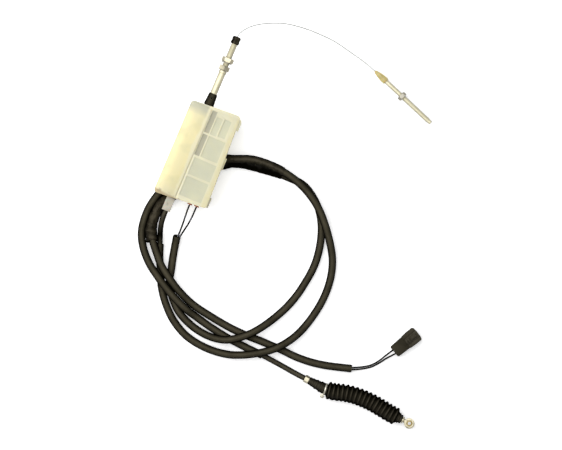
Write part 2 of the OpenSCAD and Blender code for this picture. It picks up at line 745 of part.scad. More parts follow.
// Upright cylinder through the eye, h high and centred on the pull rod's axis
module eye_disc(r, h) {
  translate([eye_at[0], eye_at[1], pedal_h - axis_height - h / 2]) cylinder(r = r, h = h, $fn = 48);
}

// Flat eye with its hole upright, on its flanged shank
module end_eye() color("#d6cfb2") {
  difference() {
    union() {
      eye_disc(6.5, eye_t);
      pull_frame() translate([0, 0, -9.7]) cylinder(r = 2.6, h = 5, $fn = 48);
      pull_frame() translate([0, 0, -9.8]) cylinder(r = 4.3, h = 1.6, $fn = 48);
    }
    eye_disc(bush_r, eye_t + 2);
  }
}

module eye_bush() color("#c9a24e") {
  difference() {
    eye_disc(bush_r, eye_t + 1);
    eye_disc(eye_pin_r, eye_t + 3);
  }
}

housing_base();
housing_cover();
standoffs();
foot_inserts();
adjuster_socket();
socket_pin();
adjuster_tube();
lower_locknut();
lock_washer();
upper_locknut();
dust_cap();
guide_tube();
slider_block();
wire_nipple_in();
wire_nipple_out();
inner_wire_core();
outlet_wire();
cam_bar();
cam_screw();
switch_body();
switch_plunger();
switch_screws();
switch_terminals();
wire_grommets();
outlet_fitting();
inner_wire_bend();
inner_wire_free();
wire_olive();
end_rod();
rod_locknut();
conduit_upper();
cable_sleeve();
conduit_lower();
wrap_right();
wrap_left();
switch_wire_a();
switch_wire_b();
harness_sleeve();
plug_wire_a();
plug_wire_b();
connector_body();
connector_latch();
connector_terminals();
wire_seals();
conduit_ferrule();
conduit_end_tube();
boot_neck();
boot_clamp();
bellows();
pedal_wire();
pull_rod();
bellows_end_collar();
end_eye();
eye_bush();
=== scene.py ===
import math

import bmesh
import bpy
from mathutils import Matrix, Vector, noise


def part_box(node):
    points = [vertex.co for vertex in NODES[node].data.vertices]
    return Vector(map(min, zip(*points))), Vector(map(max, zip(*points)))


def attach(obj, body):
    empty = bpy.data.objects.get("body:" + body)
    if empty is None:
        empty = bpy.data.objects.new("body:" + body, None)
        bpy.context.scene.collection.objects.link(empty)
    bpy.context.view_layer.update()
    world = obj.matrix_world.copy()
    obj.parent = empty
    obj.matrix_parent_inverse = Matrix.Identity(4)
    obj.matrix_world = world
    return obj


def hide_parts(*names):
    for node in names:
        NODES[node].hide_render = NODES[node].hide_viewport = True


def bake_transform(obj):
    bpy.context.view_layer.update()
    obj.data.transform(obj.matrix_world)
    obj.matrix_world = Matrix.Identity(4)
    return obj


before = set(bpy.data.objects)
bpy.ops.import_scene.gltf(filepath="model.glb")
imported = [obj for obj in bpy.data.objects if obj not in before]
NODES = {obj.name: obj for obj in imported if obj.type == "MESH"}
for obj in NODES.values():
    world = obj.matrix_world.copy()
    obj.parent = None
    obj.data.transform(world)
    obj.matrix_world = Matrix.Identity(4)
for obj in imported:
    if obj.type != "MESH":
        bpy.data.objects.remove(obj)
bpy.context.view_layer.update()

MM = 0.001
FLOOR_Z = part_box("standoffs")[0].z

# ---- Camera: straight down, turned so that the adjuster points up and to the right ----

VIEW_WIDTH = 0.7025
VIEW_CENTRE = (0.1409, -0.1582)
VIEW_TURN = math.radians(23)
CAMERA_HEIGHT = 5.0
SENSOR = 36


def make_camera():
    data = bpy.data.cameras.new("camera")
    data.sensor_width = SENSOR
    data.lens = SENSOR * CAMERA_HEIGHT / VIEW_WIDTH
    data.clip_end = 10 * CAMERA_HEIGHT
    camera = bpy.data.objects.new("camera", data)
    bpy.context.scene.collection.objects.link(camera)
    camera.location = (*VIEW_CENTRE, FLOOR_Z + CAMERA_HEIGHT)
    camera.rotation_euler = (0, 0, VIEW_TURN)
    bpy.context.scene.camera = camera


# ---- Routes of the cords: x, y and height above the floor in millimetres ----
# They repeat the part's routes, but for up to 1.4 mm where the strands cross at the lower left

CONDUIT_UPPER = [(2, -197.5, 32), (2, -202, 32), (2.4, -209, 30.6), (3.5, -216, 27),
                 (5, -222, 21.4), (7, -228, 13.6), (9, -233.5, 8.8), (11, -239, 6.4)]
CABLE = [(11, -239, 6.4), (17, -254, 5.2), (25, -270, 5.2), (34, -288, 5.2), (47, -305, 5.2),
         (65, -321, 5.2), (87, -332, 5.2), (112, -336, 5.2), (137, -334, 9.5), (158, -327, 15.7),
         (179, -315, 15.7), (197, -300, 15.7), (211, -280, 9.5), (220, -256, 5.2),
         (225, -229, 5.2), (225, -203, 5.2), (219, -178, 6), (208, -158, 10.5), (190, -135, 15.6),
         (171, -117, 15.6), (148, -104, 15.6), (124, -97, 15.6), (100, -95, 15.6),
         (77, -97.2, 15.7), (59, -104, 15), (44.5, -110.4, 13.8), (30, -121, 12.4), (14, -138, 11),
         (-1, -156, 8), (-12.5, -175, 5.2), (-18.5, -196, 5.2), (-19.5, -215, 5.2),
         (-16, -234, 5.2), (-6.5, -251, 7), (8, -266, 13.5), (24.5, -277.2, 15.8),
         (41.4, -287.2, 15.7), (58.3, -295.3, 15.7), (73, -301, 13), (88, -305, 6.5),
         (110, -310, 5.2), (135, -314, 5.2), (160, -316, 5.2), (183, -317, 5.2)]
CONDUIT_LOWER = [(183, -317, 5.2), (202, -318.8, 3.8), (216, -320.2, 4.6), (230, -321.6, 8.6),
                 (242.6, -322.5, 11.7)]
HARNESS = [(26.8, -221.5, 10), (28.6, -231, 6.6), (32, -246, 5.2), (36.2, -262, 5.2),
           (40.6, -278.4, 5.2), (50.9, -293.7, 5.2), (66, -308, 5.2), (89, -318, 5.2),
           (112, -321, 8.8), (133, -317, 15.6), (151, -305, 15.7), (165, -290, 14), (180, -266, 6),
           (191, -240, 5.2), (197, -212, 5.2), (199, -186, 5.2), (195, -160, 5.2),
           (186, -136, 5.2), (172, -117, 5.2), (149, -102, 5.2), (124, -100, 5.2),
           (101, -102, 5.2), (78, -105, 5.2), (60.5, -109, 5.2), (46, -116, 5.2), (34, -129, 5.2),
           (20, -146, 5.2), (7, -164, 5.2), (-2.5, -181, 5.2), (-7.5, -196, 5.2), (-8, -212, 5.2),
           (-4.5, -227, 7.5), (2.5, -240, 13), (13, -252, 15.8), (24.6, -263.9, 15.8),
           (40.5, -274.9, 15.7), (57.6, -284.4, 12), (78, -292.6, 6), (101, -297, 5.2),
           (126, -300.5, 5.2), (150, -302, 5.2), (175, -301.5, 5.2), (200, -301.5, 5.2),
           (226, -302.5, 5.2), (256, -299, 5.2), (292.3, -288.8, 5.2)]
INNER_WIRE = [(0, 36.1, 32), (0.2, 39, 32), (2, 43.5, 31.5), (8, 52, 29.5), (18, 60.5, 25.5),
              (31, 68, 20), (45, 74, 15), (60, 77.5, 10), (76, 79.5, 6), (93, 80, 3),
              (113, 79, 1.2), (134, 75, 0.9), (156, 70, 2.5), (174, 64.5, 5.2)]
SWITCH_WIRES = {
    "switch_wire_a": [(24.5, -136, 39.5), (25, -146, 38), (26.6, -160, 34.5), (26.6, -170, 34),
                      (26.6, -183, 34), (27, -192, 31), (27.7, -202, 24), (28, -212, 15),
                      (28, -221.5, 10.6)],
    "switch_wire_b": [(32.5, -136, 39.5), (34, -146, 38), (35.4, -160, 34.5), (35.4, -170, 34),
                      (35.4, -183, 34), (35.2, -192, 31), (34.2, -202, 24), (32.2, -212, 15),
                      (30.5, -221.5, 10.6)]}
PLUG_WIRES = {
    "plug_wire_a": [(292.2, -287.7, 5.2), (303, -282.1, 2.4), (312.5, -275.6, 1.4),
                    (319.5, -267.2, 1.4), (324.2, -258.6, 3.6), (330.4, -247.6, 6)],
    "plug_wire_b": [(292.9, -290, 5.2), (304, -284.3, 2.4), (314.2, -277.2, 1.4),
                    (321.6, -268.4, 1.4), (327, -260.3, 3.2), (335.2, -250.2, 6)]}
WRAP_RIGHT = [(34, -121, 9.2), (43, -114, 9.6), (51, -110, 10.1), (60, -106.3, 10.3),
              (72, -102.6, 10.4), (85, -100.3, 10.4), (100, -98.8, 10.4), (118, -98.5, 10.4)]
WRAP_LEFT = [(6, -169, 5.6), (-3, -184, 5.6), (-8.2, -197, 5.6), (-9.2, -212, 5.8),
             (-5.6, -226, 7.6), (1.6, -239, 12.8)]
BELLOWS = [(273.9, -325.2, 11.7), (284, -323.4, 11.7), (296, -320, 11.7), (308, -318, 11.7),
           (320, -317.4, 11.7), (333, -317.9, 11.7), (346, -319.6, 11.7), (357, -321.2, 11.7),
           (367.6, -322.1, 11.7)]
PEDAL_WIRE = [(278.8, -325.6, 11.7), (289, -323.6, 11.7), (300, -319.6, 11.7),
              (310.7, -318.2, 11.7)]

CONDUIT_R = 3.4 * MM
SLEEVE_R = 4.9 * MM
LEAD_R = 1.05 * MM
WIRE_R = 0.75 * MM
SPAN_STEPS = 24


def curve_point(route, s):
    """Point of the smooth curve through the route, s from 0 to its number of spans."""
    i = min(int(s), len(route) - 2)
    t = s - i
    a, b = route[max(i - 1, 0)], route[i]
    c, d = route[i + 1], route[min(i + 2, len(route) - 1)]
    return 0.5 * (2 * b + (c - a) * t + (2 * a - 5 * b + 4 * c - d) * t * t
                  + (3 * b - a - 3 * c + d) * t ** 3)


def smooth_path(route, step, lift=0.0):
    """Evenly spaced points along the route in the part's frame, at least lift above the floor."""
    knots = [Vector((x, y, h)) * MM + Vector((0, 0, FLOOR_Z)) for x, y, h in route]
    fine = [curve_point(knots, s / SPAN_STEPS) for s in range(SPAN_STEPS * (len(knots) - 1) + 1)]
    lengths = [0.0]
    for p, q in zip(fine, fine[1:]):
        lengths.append(lengths[-1] + (q - p).length)
    count = max(2, round(lengths[-1] / step))
    path, k = [], 0
    for i in range(count + 1):
        at = lengths[-1] * i / count
        while k < len(fine) - 2 and lengths[k + 1] < at:
            k += 1
        share = (at - lengths[k]) / (lengths[k + 1] - lengths[k])
        p = fine[k].lerp(fine[k + 1], share)
        path.append(Vector((p.x, p.y, max(p.z, FLOOR_Z + lift))))
    return path


# ---- Mesh building ----

SHARP = 35  # degrees between faces, from which an edge is shaded as sharp


def new_piece(name, verts, faces, material, uvs=None, sharp=SHARP):
    """Mesh object from points and faces, with outward faces and smooth shading between them."""
    mesh = bpy.data.meshes.new(name)
    mesh.from_pydata([tuple(v) for v in verts], [], faces)
    if uvs:
        layer = mesh.uv_layers.new(name="along")
        for loop in mesh.loops:
            layer.data[loop.index].uv = uvs[loop.vertex_index]
    build = bmesh.new()
    build.from_mesh(mesh)
    bmesh.ops.recalc_face_normals(build, faces=build.faces)
    build.to_mesh(mesh)
    build.free()
    mesh.shade_smooth()
    mesh.set_sharp_from_angle(angle=math.radians(sharp))
    mesh.materials.append(material)
    obj = bpy.data.objects.new(name, mesh)
    bpy.context.scene.collection.objects.link(obj)
    return obj


def settle(obj, body, slot, *nodes):
    """Puts a finished piece on its body and in place of its CAD nodes. The slot is not used."""
    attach(obj, body)
    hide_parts(*nodes)
    return obj


def frames_along(path):
    """Point, sideways and upward directions of each ring of a tube."""
    rings = []
    for i, p in enumerate(path):
        heading = (path[min(i + 1, len(path) - 1)] - path[max(i - 1, 0)]).normalized()
        side = Vector((0, 0, 1)).cross(heading).normalized()
        rings.append((p, side, heading.cross(side)))
    return rings


def tube(name, path, half_width, material, sides=16, outline=None, mouth=0.0):
    """Closed tube along a path. The half-width is a number, or a function of ring number and angle.
    An outline gives each ring's sideways and upward reach instead. With a mouth both ends are
    hollow to that depth, as on an open sleeve."""
    rings = frames_along(path)
    stations = [(i, 1.0, 0.0) for i in range(len(rings))]
    if mouth:
        last, lip, throat = len(rings) - 1, 0.8, 0.75
        stations = [(0, throat, mouth), (0, lip, 0.0), *stations, (last, lip, 0.0),
                    (last, throat, -mouth)]
    verts, uvs, run, before = [], [], 0.0, path[0]
    for i, share, inward in stations:
        p, side, up = rings[i]
        run += (p - before).length
        before = p
        for k in range(sides):
            angle = 2 * math.pi * k / sides
            if outline:
                a, b = outline(i, angle)
            else:
                reach = half_width(i, angle) if callable(half_width) else half_width
                a, b = reach * math.cos(angle), reach * math.sin(angle)
            verts.append(p + (side * a + up * b) * share + side.cross(up) * inward)
            uvs.append((run, k / sides))
    end = (len(stations) - 1) * sides
    faces = [(i * sides + k, (i + 1) * sides + k, (i + 1) * sides + (k + 1) % sides,
              i * sides + (k + 1) % sides)
             for i in range(len(stations) - 1) for k in range(sides)]
    faces += [tuple(range(sides)), tuple(range(end + sides - 1, end - 1, -1))]
    return new_piece(name, verts, faces, material, uvs)


def turned(name, rows, origin, direction, material, segments=48, loop=False, sharp=SHARP):
    """Surface turned about an axis. A row is (distance along, radius), or a function of the angle
    that gives them. With loop the last row joins the first, as round a bore."""
    turn = Vector(direction).to_track_quat("Z", "Y").to_matrix()
    verts = []
    for row in rows:
        for k in range(segments):
            angle = 2 * math.pi * k / segments
            along, radius = row(angle) if callable(row) else row
            spoke = Vector((math.cos(angle) * radius, math.sin(angle) * radius, along))
            verts.append(Vector(origin) + turn @ spoke)
    pairs = list(zip(range(len(rows)), range(1, len(rows))))
    if loop:
        pairs.append((len(rows) - 1, 0))
    faces = [(i * segments + k, i * segments + (k + 1) % segments,
              j * segments + (k + 1) % segments, j * segments + k)
             for i, j in pairs for k in range(segments)]
    if not loop:
        last = (len(rows) - 1) * segments
        faces += [tuple(range(segments)), tuple(range(last, last + segments))]
    return new_piece(name, verts, faces, material, sharp=sharp)


def thread_rows(start, end, crest, pitch, depth):
    """Rows of a screw thread from start to end, fading in and out over one pitch."""
    rows_per_turn, steepness = 6, 2.4
    steps = round((end - start) / (pitch / rows_per_turn))

    def row_at(along):
        fade = max(0.0, min(1.0, (along - start) / pitch, (end - along) / pitch))

        def row(angle):
            phase = (along / pitch - angle / (2 * math.pi)) % 1
            groove = min(1.0, steepness * min(phase, 1 - phase))
            return along, crest - depth * fade * groove
        return row
    return [row_at(start + (end - start) * i / steps) for i in range(steps + 1)]


def hex_rows(start, length, across, bore, turn):
    """Rows of a hexagonal nut with chamfered corners and a countersunk bore."""
    flat_r = across / 2
    face_r = 0.96 * flat_r
    chamfer_slope = math.tan(math.radians(28))
    sink = 0.4 * MM
    end = start + length

    def corner(angle):
        return flat_r / math.cos((angle - turn + math.pi / 6) % (math.pi / 3) - math.pi / 6)

    def chamfer(angle):
        return max(0.0, corner(angle) - face_r) * chamfer_slope

    return [(start + sink, bore), (start, bore + sink), (start, face_r),
            lambda a: (start + chamfer(a), corner(a)), lambda a: (end - chamfer(a), corner(a)),
            (end, face_r), (end, bore + sink), (end - sink, bore)]


def softened(name, node, width, material, segments=2, angle=40):
    """Copy of a CAD node's mesh with its edges rounded."""
    mesh = NODES[node].data.copy()
    mesh.name = name
    build = bmesh.new()
    build.from_mesh(mesh)
    bmesh.ops.remove_doubles(build, verts=build.verts, dist=1e-6)
    bmesh.ops.dissolve_limit(build, angle_limit=math.radians(1), verts=build.verts,
                             edges=build.edges)
    build.to_mesh(mesh)
    build.free()
    mesh.materials.clear()
    mesh.materials.append(material)
    mesh.shade_smooth()
    obj = bpy.data.objects.new(name, mesh)
    bpy.context.scene.collection.objects.link(obj)
    bevel = obj.modifiers.new("edges", "BEVEL")
    bevel.width = width
    bevel.segments = segments
    bevel.limit_method = "ANGLE"
    bevel.angle_limit = math.radians(angle)
    bevel.harden_normals = True
    bevel.use_clamp_overlap = True
    return obj


def direction(degrees):
    """Level direction, turned counterclockwise from +X."""
    return Vector((math.cos(math.radians(degrees)), math.sin(math.radians(degrees)), 0))


def in_mm(shape):
    return [(along * MM, radius * MM) for along, radius in shape]


# ---- Materials ----

def add(tree, kind, settings=None, **inputs):
    """Node of a kind. Inputs are values or other nodes' outputs. An input is called by its name,
    with _ for a space, or by its number, as i0."""
    made = tree.nodes.new("ShaderNode" + kind)
    for key, value in (settings or {}).items():
        setattr(made, key, value)
    for key, value in inputs.items():
        numbered = key[0] == "i" and key[1:].isdigit()
        place = made.inputs[int(key[1:]) if numbered else key.replace("_", " ")]
        if isinstance(value, bpy.types.NodeSocket):
            tree.links.new(value, place)
        else:
            place.default_value = value
    return made


def noise_of(tree, scale, detail=4.0):
    where = add(tree, "TexCoord").outputs["Object"]
    return add(tree, "TexNoise", Vector=where, Scale=scale, Detail=detail).outputs["Fac"]


def ramp(tree, factor, stops):
    """Colour ramp through (position, colour) stops."""
    made = add(tree, "ValToRGB", Fac=factor)
    elements = made.color_ramp.elements
    while len(elements) < len(stops):
        elements.new(0.5)
    for element, (position, colour) in zip(elements, stops):
        element.position = position
        element.color = (*colour, 1)
    return made.outputs["Color"]


def mapped(tree, value, low, high, to_low=0.0, to_high=1.0):
    return add(tree, "MapRange", Value=value, From_Min=low, From_Max=high, To_Min=to_low,
               To_Max=to_high).outputs["Result"]


def math_of(tree, operation, a, b=0.0):
    return add(tree, "Math", {"operation": operation}, i0=a, i1=b).outputs["Value"]


def mixed(tree, factor, a, b):
    """Colour that goes from a to b; the Mix node's colours are its inputs 6 and 7 and output 2."""
    made = add(tree, "Mix", {"data_type": "RGBA"}, i0=factor, i6=a, i7=b)
    return made.outputs[2]


def bumped(tree, bsdf, height, distance):
    bump = add(tree, "Bump", Height=height, Distance=distance, Strength=1.0)
    tree.links.new(bump.outputs["Normal"], bsdf.inputs["Normal"])


def surface(name, dark, light, rough, scale=60.0, grain=900.0, grain_depth=0.00006, **sockets):
    """Material whose colour and roughness wander between two values, with a fine grain.
    Returns the material, its tree, its shader, its blotch pattern and its grain."""
    material = bpy.data.materials.new(name)
    material.use_nodes = True
    tree = material.node_tree
    bsdf = tree.nodes["Principled BSDF"]
    for key, value in sockets.items():
        bsdf.inputs[key.replace("_", " ")].default_value = value
    blotch = noise_of(tree, scale, 5.0)
    colour = ramp(tree, blotch, [(0.3, dark), (0.7, light)])
    tree.links.new(colour, bsdf.inputs["Base Color"])
    tree.links.new(mapped(tree, blotch, 0.3, 0.7, *rough), bsdf.inputs["Roughness"])
    fine = noise_of(tree, grain, 3.0)
    bumped(tree, bsdf, fine, grain_depth)
    return material, tree, bsdf, colour, fine


def rubbed_and_highlit_edges(tree, bsdf, colour, edge, low=0.53, high=0.6):
    """Lightens the colour where the surface is convex: partly rubbed edges, partly a painted
    highlight along ridges.
    """
    point = add(tree, "NewGeometry").outputs["Pointiness"]
    patchy = math_of(tree, "MULTIPLY", mapped(tree, point, low, high),
                     mapped(tree, noise_of(tree, 400.0), 0.35, 0.65))
    tree.links.new(mixed(tree, patchy, colour, (*edge, 1)), bsdf.inputs["Base Color"])


def painted_flank_shade(tree, bsdf, flank, low, high, gloss=None):
    """Painted shade: darkens the colour where the surface faces sideways, so the flanks read as
    turned away from the light overhead. It goes from flank to the full colour as the normal's Z
    rises from low to high. With a gloss the sides are matt too, up to that specular level on top."""
    now = bsdf.inputs["Base Color"].links[0].from_socket
    normal = add(tree, "NewGeometry").outputs["Normal"]
    upward = add(tree, "SeparateXYZ", Vector=normal).outputs["Z"]
    # painted shade: fade is 1 where the surface faces sideways, mixing in the flank colour
    fade = mapped(tree, upward, low, high, 1.0, 0.0)
    tree.links.new(mixed(tree, fade, now, (*flank, 1)), bsdf.inputs["Base Color"])
    if gloss:
        shine = mapped(tree, upward, low, high, 0.0, gloss)
        tree.links.new(shine, bsdf.inputs["Specular IOR Level"])


def along_uv(tree):
    """Distance along a tube in metres, and the turn around it from 0 to 1."""
    uv = add(tree, "UVMap", {"uv_map": "along"}).outputs["UV"]
    split = add(tree, "SeparateXYZ", Vector=uv)
    return split.outputs["X"], split.outputs["Y"]


def winding(tree, turns):
    """0 to 1 across each turn of something wound round a tube, so many turns in a metre."""
    run, around = along_uv(tree)
    wound = math_of(tree, "ADD", math_of(tree, "MULTIPLY", run, turns), around)
    return math_of(tree, "FRACT", wound)


def twisted(tree, pitch, starts):
    """Wave from -1 to 1 over a tube's surface, as wires wound side by side make it."""
    run, around = along_uv(tree)
    lay = math_of(tree, "ADD", math_of(tree, "MULTIPLY", run, 2 * math.pi / pitch),
                  math_of(tree, "MULTIPLY", around, 2 * math.pi * starts))
    return math_of(tree, "SINE", lay)


def window_of(tree, value, low, high, soft):
    """1 where the value lies between low and high, fading out over soft."""
    rise = mapped(tree, value, low - soft, low + soft)
    fall = mapped(tree, value, high - soft, high + soft, 1.0, 0.0)
    return math_of(tree, "MULTIPLY", rise, fall)


def near_spot(tree, where, spot, radius):
    """1 at a spot in the part's frame, fading to 0 at the radius."""
    distance = add(tree, "VectorMath", {"operation": "DISTANCE"}, i0=where, i1=spot)
    return mapped(tree, distance.outputs["Value"], 0.0, radius, 1.0, 0.0)


def ivory_shell(name, transmission, dark, light, strength):
    """Milky polypropylene with a warm slider chamber, painted light on the chamber's outer side and
    along the step between its two halves, painted shade on the chamber's inner stretch and at its
    adjuster end, grime on its foot edge and rust round the wire exits."""
    material, tree, bsdf, colour, _ = surface(
        name, dark, light, (0.34, 0.5), scale=32.0, grain=600.0, grain_depth=0.00003,
        Subsurface_Weight=0.35, Subsurface_Scale=0.005, Subsurface_Radius=(1.0, 0.85, 0.5),
        Transmission_Weight=transmission, IOR=1.46, Specular_IOR_Level=0.4)
    where = add(tree, "TexCoord").outputs["Object"]
    wander = add(tree, "TexNoise", Vector=where, Scale=30.0, Detail=3.0).outputs["Color"]
    shift = add(tree, "VectorMath", {"operation": "MULTIPLY_ADD"}, i0=wander, i1=(0.012,) * 3,
                i2=(-0.006,) * 3).outputs["Vector"]
    cloudy = add(tree, "VectorMath", {"operation": "ADD"}, i0=where, i1=shift).outputs["Vector"]
    split = add(tree, "SeparateXYZ", Vector=cloudy)

    def in_x(low, high, soft):
        return window_of(tree, split.outputs["X"], low, high, soft)

    def in_y(low, high, soft):
        return window_of(tree, split.outputs["Y"], low, high, soft)

    def both(a, b):
        return math_of(tree, "MULTIPLY", a, b)

    def specks(scale, detail, low, high, most):
        return mapped(tree, noise_of(tree, scale, detail), low, high, 0.0, most)

    chamber = in_x(-0.03, 0.006, 0.003)
    slider = both(chamber, in_y(-0.172, -0.074, 0.014))
    tints = [
        # Slider chamber: whole, painted light on the outer side, painted shade on the inner
        # stretch, blotches, painted shade at the adjuster end
        (slider, (0.82, 0.73, 0.4)),
        (both(in_x(-0.03, -0.0125, 0.003), in_y(-0.172, -0.074, 0.014)), (0.9, 0.8, 0.46)),
        (both(in_x(-0.009, 0.0, 0.003), in_y(-0.16, -0.082, 0.01)), (0.76, 0.69, 0.4)),
        (both(slider, specks(42.0, 2.0, 0.5, 0.68, 0.55)), (0.6, 0.57, 0.33)),
        (both(chamber, in_y(-0.07, -0.05, 0.005)), (0.48, 0.475, 0.36)),
        # Painted light along the step between the halves, and the switch side's outer edge
        (in_x(0.0032, 0.0096, 0.0014), (0.8, 0.75, 0.53)),
        (in_x(0.0405, 0.06, 0.001), (0.7, 0.64, 0.4)),
        # Foot edge: browned band, grime on it, rust round the two wire exits
        (in_y(-0.19, -0.1785, 0.0015), (0.46, 0.36, 0.2)),
        (both(in_y(-0.19, -0.1765, 0.0015), specks(160.0, 4.0, 0.5, 0.66, 0.8)), (0.26, 0.19, 0.1)),
        (near_spot(tree, where, (0.026, -0.179, 0.006), 0.008), (0.72, 0.3, 0.11)),
        (near_spot(tree, where, (0.035, -0.178, 0.006), 0.009), (0.7, 0.26, 0.09)),
    ]
    full = 0.85 * strength
    for mask, tint in tints:
        colour = mixed(tree, both(mask, full), colour, (*tint, 1))
    tree.links.new(colour, bsdf.inputs["Base Color"])
    return material


# Black plastics and rubbers: a weak, slightly brown gloss, and painted shade that turns their
# flanks nearly black
DULL = {"IOR": 1.3, "Specular_IOR_Level": 0.28, "Specular_Tint": (1.0, 0.88, 0.66, 1.0)}
FLANK_SHADE_BLACK = (0.0025, 0.0021, 0.0012)
TOP_GLOSS = 0.4


def black_flank_shading(tree, bsdf, gloss=TOP_GLOSS):
    # painted shade: the flanks go nearly black as they turn from the light overhead, and lose their
    # gloss
    painted_flank_shade(tree, bsdf, FLANK_SHADE_BLACK, 0.58, 1.0, gloss)


def black_plastic():
    """Moulded plastic with a fine grain and slightly rubbed edges."""
    material, tree, bsdf, colour, _ = surface(
        "black_plastic", (0.014, 0.0125, 0.0075), (0.03, 0.0265, 0.0165), (0.36, 0.54),
        grain=1500.0, **DULL)
    rubbed_and_highlit_edges(tree, bsdf, colour, (0.045, 0.041, 0.03))
    black_flank_shading(tree, bsdf)
    return material


def black_rubber():
    """Dusty rubber, paler along its ridges: rubbed dust and a painted highlight on the crests."""
    material, tree, bsdf, colour, _ = surface(
        "black_rubber", (0.014, 0.0125, 0.008), (0.034, 0.03, 0.02), (0.42, 0.62), scale=90.0,
        grain=1100.0, grain_depth=0.00008, **DULL)
    # the pale edge colour is partly a painted highlight on the bellows' crests
    rubbed_and_highlit_edges(tree, bsdf, colour, (0.085, 0.072, 0.05), 0.52, 0.59)
    black_flank_shading(tree, bsdf)
    return material


def sleeve_vinyl():
    """Soft loom sleeve: fine cross ribs, a faint seam and dusty patches."""
    material, tree, bsdf, colour, fine = surface(
        "sleeve_vinyl", (0.024, 0.0212, 0.0125), (0.05, 0.0442, 0.0275), (0.34, 0.5), scale=45.0,
        grain=1300.0, **DULL)
    rib_pitch, seam_at = 1.6 * MM, 0.3
    run, around = along_uv(tree)
    ribs = math_of(tree, "SINE", math_of(tree, "MULTIPLY", run, 2 * math.pi / rib_pitch))
    ribs = math_of(tree, "MULTIPLY", ribs, 0.5)
    from_seam = math_of(tree, "ABSOLUTE", math_of(tree, "SUBTRACT", around, seam_at))
    seam = mapped(tree, from_seam, 0.006, 0.016)
    height = math_of(tree, "ADD", math_of(tree, "ADD", ribs, fine), seam)
    bumped(tree, bsdf, height, 0.00014)
    rubbed = mapped(tree, noise_of(tree, 28.0, 3.0), 0.55, 0.75, 0.0, 0.35)
    tree.links.new(mixed(tree, rubbed, colour, (0.065, 0.056, 0.037, 1)), bsdf.inputs["Base Color"])
    black_flank_shading(tree, bsdf)
    return material


def conduit_jacket():
    """Bare outer casing of the control cable, with the lay of its wires faint under the jacket."""
    material, tree, bsdf, _, fine = surface(
        "conduit_jacket", (0.026, 0.023, 0.015), (0.058, 0.0515, 0.035), (0.32, 0.46), scale=80.0,
        **DULL)
    wave = twisted(tree, 12 * MM, 5)
    height = math_of(tree, "ADD", math_of(tree, "MULTIPLY", wave, 0.4), fine)
    bumped(tree, bsdf, height, 0.00012)
    black_flank_shading(tree, bsdf)
    return material


def tape():
    """Wound tape: overlapping edges across the run, creases, a dull sheen."""
    material, tree, bsdf, _, _ = surface(
        "tape", (0.006, 0.005, 0.003), (0.034, 0.0285, 0.0175), (0.2, 0.36), scale=120.0, **DULL)
    lap = winding(tree, 1 / (9 * MM))
    crease = add(tree, "TexVoronoi", {"feature": "DISTANCE_TO_EDGE"}, Scale=170.0,
                 Vector=add(tree, "TexCoord").outputs["Object"]).outputs["Distance"]
    height = math_of(tree, "ADD", lap, math_of(tree, "MULTIPLY", crease, 1.2))
    bumped(tree, bsdf, height, 0.0005)
    black_flank_shading(tree, bsdf)
    return material


def lead(name, stripe, share):
    """Thin insulated wire with a tracer stripe that winds slowly round it."""
    material, tree, bsdf, colour, _ = surface(
        name, (0.003, 0.0027, 0.0018), (0.008, 0.0072, 0.005), (0.4, 0.55), scale=200.0, **DULL)
    line = math_of(tree, "LESS_THAN", winding(tree, 30.0), share)
    tree.links.new(mixed(tree, line, colour, (*stripe, 1)), bsdf.inputs["Base Color"])
    black_flank_shading(tree, bsdf, gloss=0.1)
    return material


def plated(name, dark, light, rough, edge, metallic=0.7):
    """Dull plated steel: cloudy plating, fine turning marks, rubbed edges and painted shade on its
    flanks.
    """
    material, tree, bsdf, colour, _ = surface(
        name, dark, light, rough, scale=150.0, grain=2200.0, grain_depth=0.00002,
        Metallic=metallic)
    rubbed_and_highlit_edges(tree, bsdf, colour, edge)
    # painted shade on the flanks, darker as they turn from the light overhead
    flank_shade_colour = (0.09, 0.075, 0.04)
    painted_flank_shade(tree, bsdf, flank_shade_colour, 0.25, 0.8)
    return material


def strand():
    """Bare stranded wire: the helix of its strands as bump and as painted shade in the grooves."""
    material, tree, bsdf, colour, _ = surface(
        "strand", (0.52, 0.53, 0.52), (0.62, 0.63, 0.61), (0.34, 0.48), scale=300.0, Metallic=0.4)
    wave = twisted(tree, 4.5 * MM, 6)
    bumped(tree, bsdf, wave, 0.00008)
    # painted shade: the grooves between the strands are darkened
    groove = mapped(tree, wave, -1.0, -0.4, 0.45, 0.0)
    tree.links.new(mixed(tree, groove, colour, (0.4, 0.4, 0.39, 1)), bsdf.inputs["Base Color"])
    return material


def floor_paper():
    """White sheet lit faintly from below, which keeps the shadows pale."""
    return surface(
        "floor_paper", (0.93, 0.93, 0.93), (0.95, 0.95, 0.95), (0.8, 0.9), scale=3.0, grain=400.0,
        grain_depth=0.00001, Specular_IOR_Level=0.1, Emission_Color=(1, 1, 1, 1),
        Emission_Strength=0.4)[0]


IVORY = ivory_shell("ivory_shell", 0.05, (0.62, 0.59, 0.42), (0.72, 0.68, 0.48), 1.0)
PANE = ivory_shell("window_pane", 0.2, (0.4, 0.385, 0.28), (0.48, 0.455, 0.33), 0.0)
PANEL = ivory_shell("cool_panel", 0.05, (0.52, 0.515, 0.375), (0.62, 0.605, 0.425), 0.35)
BLACK = black_plastic()
